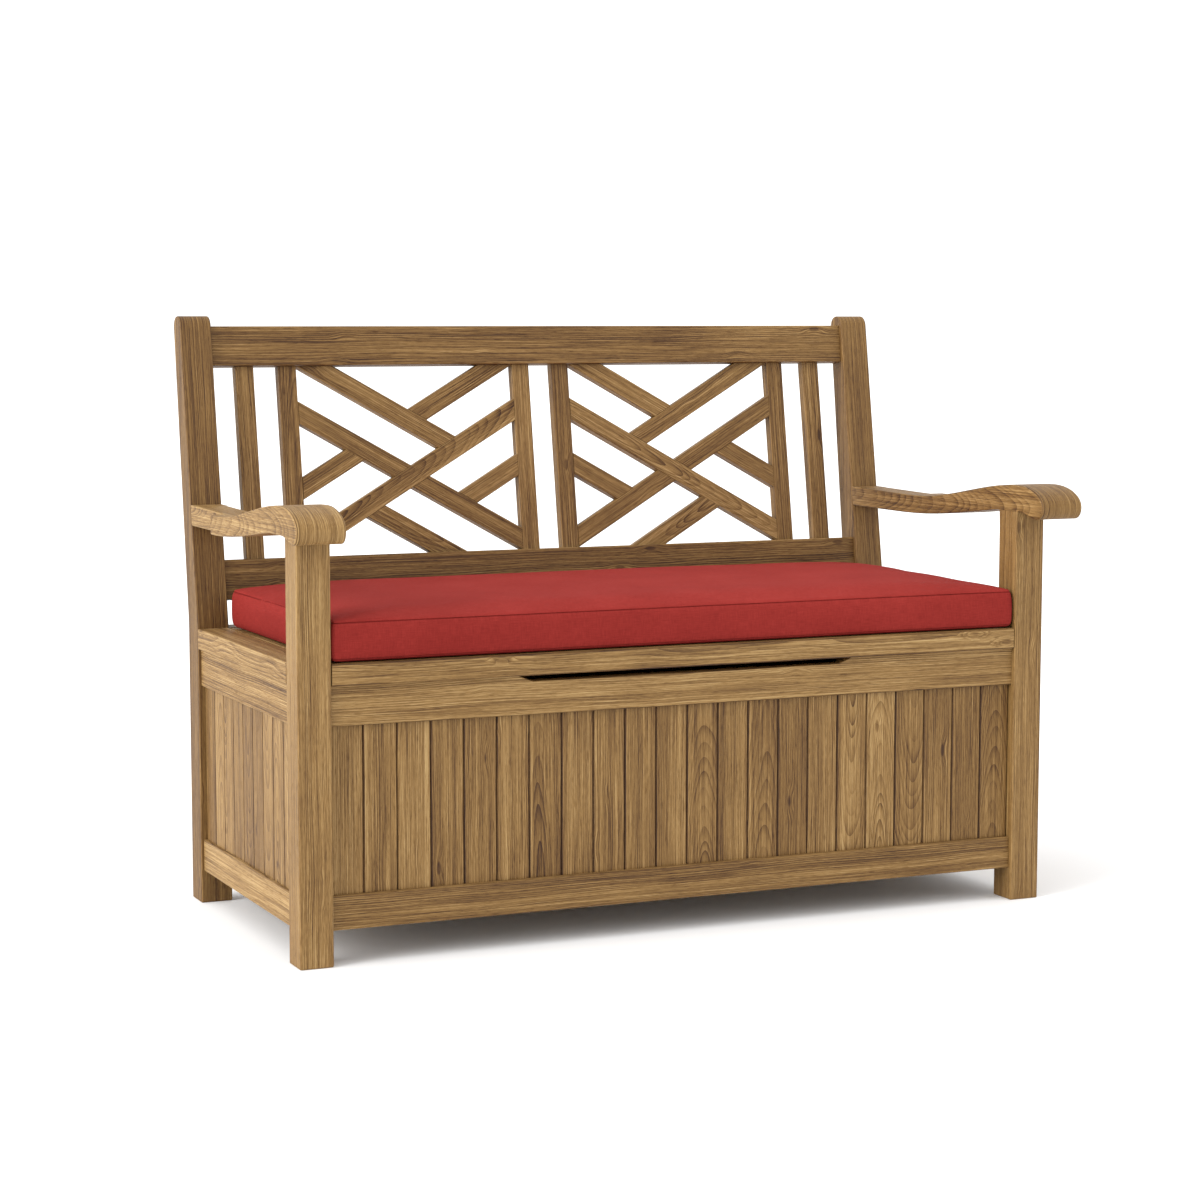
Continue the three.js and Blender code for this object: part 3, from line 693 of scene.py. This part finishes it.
for node in cad:
    if node.startswith("hinge"):
        cad[node].data.materials.clear()
        cad[node].data.materials.append(brass)
cad["box_floor"].data.materials.clear()
cad["box_floor"].data.materials.append(teak_inside)

HEAD_RADIUS, HEAD_HEIGHT, HEAD_ROUND = 3.2 * MM, 1.0 * MM, 0.35 * MM
HEAD_FROM_PIN = 1.1 * MM
SCREW_SHARES = (0.14, 0.5, 0.86)            # of the leaf's length
SCREW_HEIGHTS = (14 * MM, 9 * MM, 14 * MM)  # above the leaf's foot


def hinge_screws():
    """Three screws in each leaf, their round heads a little proud of it."""
    for side in ("left", "right"):
        pin_low, pin_high = boxes[f"hinge_pin_{side}"]
        axis = (pin_low + pin_high) / 2
        leaf_low, leaf_high = boxes[f"hinge_lid_leaf_{side}"]
        for leaf, body, facing in (("lid", "lid", 1), ("frame", "bench", -1)):
            face_y = axis.y - facing * HEAD_FROM_PIN
            front_y = face_y + facing * HEAD_HEIGHT / 2
            for index, (share, height) in enumerate(zip(SCREW_SHARES, SCREW_HEIGHTS)):
                x = leaf_low.x + share * (leaf_high.x - leaf_low.x)
                only()
                bpy.ops.mesh.primitive_cylinder_add(
                    vertices=24, radius=HEAD_RADIUS, depth=HEAD_HEIGHT,
                    location=(x, face_y, leaf_low.z + height), rotation=(math.pi / 2, 0, 0))
                screw = bpy.context.active_object
                screw.name = f"screw_{leaf}_{side}_{index + 1}"
                bpy.ops.object.transform_apply(location=True, rotation=True, scale=True)
                start_shaping(screw)
                pick(screw, lambda edge: all(abs(v.co.y - front_y) < 0.01 * MM for v in edge.verts))
                bpy.ops.mesh.bevel(offset=HEAD_ROUND, segments=2, profile=0.6, affect="EDGES")
                end_shaping()
                finish_piece(screw, brass, "hinge_brass", body)


hinge_screws()


# ------------------------------------------------------------------ cushion

SEAM, LOWER_SEAM = 58 * MM, 5 * MM          # heights above the lid
SEAM_DEPTH, LOWER_SEAM_DEPTH = 1.3 * MM, 1.0 * MM
SEAM_HALF_WIDTH = 1.4
FOAM_INSET, FOAM_LOW = 0.8 * MM, 4 * MM     # how much smaller the foam is, at its sides and top
VOXEL = 8 * MM
SWELL_FRAMES = 20
SEAM_HELD, FOOT_HELD, SOLE_HELD = 0.1, 0.85, 1.0
MAX_OUTWARD, MAX_INWARD, MAX_RISE = 0.9, 3.0, 16.0


def cushion_block():
    """The foam before it is covered, a little smaller than the finished cushion."""
    start, end = boxes["seat_cushion"]
    inset = Vector((FOAM_INSET, FOAM_INSET, 0))
    start, end = start + inset, end - inset - Vector((0, 0, FOAM_LOW))
    only()
    bpy.ops.mesh.primitive_cube_add(size=1, location=(start + end) / 2, scale=end - start)
    block = bpy.context.active_object
    block.name = "seat_cushion_cover"
    bpy.ops.object.transform_apply(location=True, rotation=True, scale=True)

    def rim_at(height):
        return lambda edge: (all(abs(v.co.z - height) < 0.1 * MM for v in edge.verts)
                             and outer_corner(edge))

    start_shaping(block)
    for test, width, steps in ((lambda edge: abs(run_of(edge).normalized().z) > 0.99, 6, 4),
                               (rim_at(end.z), 8, 4), (rim_at(start.z), 5, 3)):
        pick(block, test)
        bpy.ops.mesh.bevel(offset=width * MM, segments=steps, profile=0.5, affect="EDGES")
    end_shaping()
    remesh = block.modifiers.new("even_mesh", "REMESH")
    remesh.mode, remesh.voxel_size = "VOXEL", VOXEL
    bpy.ops.object.modifier_apply(modifier=remesh.name)
    return block


def stuff(cover):
    """Cloth under pressure: the cover swells as far as its seams let it, and lies flat on the
    lid. No point may go further than its reach, outwards, inwards or up."""
    lid_top = boxes["seat_cushion"][0].z
    rest = points_of(cover)
    height = rest[:, 2] - lid_top
    grip = np.zeros(len(rest))
    grip[np.abs(height - SEAM + FOAM_LOW) < 4.5 * MM] = SEAM_HELD
    grip[height < 12 * MM] = FOOT_HELD
    grip[height < 3 * MM] = SOLE_HELD
    held = cover.vertex_groups.new(name="held")
    for weight in (SEAM_HELD, FOOT_HELD, SOLE_HELD):
        held.add([int(i) for i in np.flatnonzero(grip == weight)], weight, "REPLACE")
    cloth = cover.modifiers.new("stuffing", "CLOTH")
    s = cloth.settings
    s.quality, s.mass, s.air_damping = 6, 2.0, 8
    s.tension_stiffness = s.compression_stiffness = 240
    s.shear_stiffness, s.bending_stiffness = 120, 24
    s.use_pressure, s.uniform_pressure_force = True, 4.0
    s.effector_weights.gravity = 0
    s.vertex_group_mass = "held"
    cloth.collision_settings.use_self_collision = False
    cloth.point_cache.frame_start, cloth.point_cache.frame_end = 1, SWELL_FRAMES
    for step in range(1, SWELL_FRAMES + 1):
        bpy.context.scene.frame_set(step)
    only(cover)
    bpy.ops.object.modifier_apply(modifier=cloth.name)
    bpy.context.scene.frame_set(1)

    swell = points_of(cover) - rest
    goes_inward = swell * (rest - rest.mean(0)) < 0
    reach = np.where(goes_inward, (MAX_INWARD * MM, MAX_INWARD * MM, MAX_RISE * MM),
                     (MAX_OUTWARD * MM, MAX_OUTWARD * MM, MAX_RISE * MM))
    place_points(cover, rest + swell / (1 + (np.abs(swell) / reach) ** 4) ** 0.25)


def tailor(cover):
    """The sides draw in a little between the corners, and bow outwards between their two seams.
    The rear side leans forward at its foot, which clears the rear seat rail as the lid opens."""
    waist_ends, waist_sides, bow_depth, corner_push = 0.8, 0.5, 1.2, 2.2
    lean_foot, lean_all = 3.6, 1.0
    start, end = boxes["seat_cushion"]
    centre, half = (start + end) / 2, (end - start) / 2
    points = points_of(cover)
    along, deep = (points[:, 0] - centre.x) / half.x, (points[:, 1] - centre.y) / half.y
    up = np.clip((points[:, 2] - start.z) / SEAM, 0, 1)
    bow = (2 * up - 1) ** 2 * bow_depth * MM
    corner = (along * deep) ** 8 * corner_push * MM
    points[:, 0] -= along * (np.clip(1 - deep ** 2, 0, 1) * waist_ends * MM + bow - corner)
    points[:, 1] -= deep * (np.clip(1 - along ** 4, 0, 1) * waist_sides * MM + bow - corner)
    points[:, 1] -= np.clip(deep, 0, 1) ** 6 * (lean_foot * (1 - up) + lean_all) * MM
    place_points(cover, points)


def gather(cover, height):
    """Small puckers beside the seam, and wider soft waves over the top."""
    pucker_depth, pucker_reach, wave_depth = 1.0 * MM, 6.5 * MM, 1.1 * MM
    points = points_of(cover)
    normals = np.empty(len(points) * 3)
    cover.data.vertices.foreach_get("normal", normals)
    normals = normals.reshape(-1, 3)
    beside = np.exp(-((points[:, 2] - height) / pucker_reach) ** 2)
    up = np.clip(normals[:, 2], 0, 1) * np.clip((points[:, 2] - height - 4 * MM) / (8 * MM), 0, 1)
    for index, (x, y, z) in enumerate(points):
        pucker = noise.noise((x * 42, y * 42, z * 8)) if beside[index] > 0.02 else 0.0
        wave = noise.noise((x * 7 + 3, y * 9, 0.0)) if up[index] > 0 else 0.0
        points[index] += normals[index] * (
            pucker_depth * pucker * beside[index] + wave_depth * wave * up[index])
    place_points(cover, points)


def sew(cover, height, depth):
    """A seam right round: one line of the fabric is drawn in, and rolls over on both sides of it."""
    start_shaping(cover)
    for offset in (-SEAM_HALF_WIDTH, 0, SEAM_HALF_WIDTH):
        bpy.ops.mesh.select_all(action="SELECT")
        bpy.ops.mesh.bisect(plane_co=(0, 0, height + offset * MM), plane_no=(0, 0, 1))
    end_shaping()
    for vertex in cover.data.vertices:
        if abs(vertex.co.z - height) < 0.02 * MM:
            outward = Vector((vertex.normal.x, vertex.normal.y, 0)).normalized()
            vertex.co -= outward * depth


def mark(mesh, label, values):
    """Gives each point of the mesh a number."""
    attribute = mesh.attributes.new(label, "FLOAT", "POINT")
    attribute.data.foreach_set("value", np.array(values, dtype=np.float32))


def cloth_map(cover, seam):
    """The weave runs straight on each panel, and goes round the rolled edges of the top. The line
    of each seam is marked, for painted shade in its crease, and so is what faces up, for painted light on
    the top."""
    start, end = boxes["seat_cushion"]
    mesh = cover.data
    heights = points_of(cover)[:, 2]
    crown = heights.max()
    uv = mesh.uv_layers.new(name="cloth")
    for face in mesh.polygons:
        n = face.normal
        for corner in face.loop_indices:
            co = mesh.vertices[mesh.loops[corner].vertex_index].co
            if face.center.z > seam:
                drop = crown - co.z
                beyond_end = min(co.x - start.x, end.x - co.x)
                beyond_side = min(co.y - start.y, end.y - co.y)
                if beyond_end < beyond_side:
                    uv.data[corner].uv = (co.x + math.copysign(drop, co.x), co.y)
                else:
                    uv.data[corner].uv = (co.x, co.y + math.copysign(drop, co.y))
            elif n.z < -0.7:
                uv.data[corner].uv = (co.x, co.y)
            elif abs(n.y) > abs(n.x):
                uv.data[corner].uv = (co.x, co.z)
            else:
                uv.data[corner].uv = (co.y, co.z)
    # Painted shade: the line of each seam is marked, and the canvas is darkened there for the shade in its
    # crease.
    mark(mesh, "seam_line", [
        min(abs(z - seam), abs(z - start.z - LOWER_SEAM)) < 0.05 * MM for z in heights])
    # Painted light: faces turned up are marked, and the canvas is lightened there.
    mark(mesh, "sun_fade", [max(0.0, v.normal.z) for v in mesh.vertices])


def cushion():
    """One boxed cushion over the whole lid."""
    start = boxes["seat_cushion"][0]
    seam = start.z + SEAM
    cover = cushion_block()
    stuff(cover)
    only(cover)
    smoother = cover.modifiers.new("rounder", "SUBSURF")
    smoother.levels = smoother.render_levels = 1
    bpy.ops.object.modifier_apply(modifier=smoother.name)
    tailor(cover)
    gather(cover, seam)
    sew(cover, seam, SEAM_DEPTH)
    sew(cover, start.z + LOWER_SEAM, LOWER_SEAM_DEPTH)
    cloth_map(cover, seam)
    finish_piece(cover, canvas, "cushion_fabric", "lid", "seat_cushion")
    bpy.ops.object.shade_smooth()
    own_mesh(cover)


cushion()


# ------------------------------------------------------------------ studio

def studio():
    """A pale floor, soft light all round, and one wide lamp."""
    low, high = cad_box
    middle = (low + high) / 2
    only()
    bpy.ops.mesh.primitive_plane_add(size=60, location=(middle.x, middle.y, low.z))
    floor = bpy.context.active_object
    floor.name = "studio_floor"
    bpy.ops.object.transform_apply(location=True, rotation=True, scale=True)
    floor.data.materials.append(pale_floor())

    world = bpy.data.worlds.new("studio_air")
    bpy.context.scene.world = world
    world.use_nodes = True
    air = world.node_tree.nodes["Background"]
    air.inputs["Color"].default_value = (1, 1, 1, 1)
    air.inputs["Strength"].default_value = 1.3

    # A wide soft light from the left, low and only a little in front of the bench.
    light = bpy.data.lights.new("key_lamp", "SUN")
    light.energy, light.angle = 2.7, math.radians(36)
    key = bpy.data.objects.new("key_lamp", light)
    bpy.context.scene.collection.objects.link(key)
    key.rotation_mode = "QUATERNION"
    key.rotation_quaternion = Vector((0.90, 0.16, -0.40)).to_track_quat("-Z", "Y")


studio()
bpy.context.scene.view_settings.view_transform = "Standard"
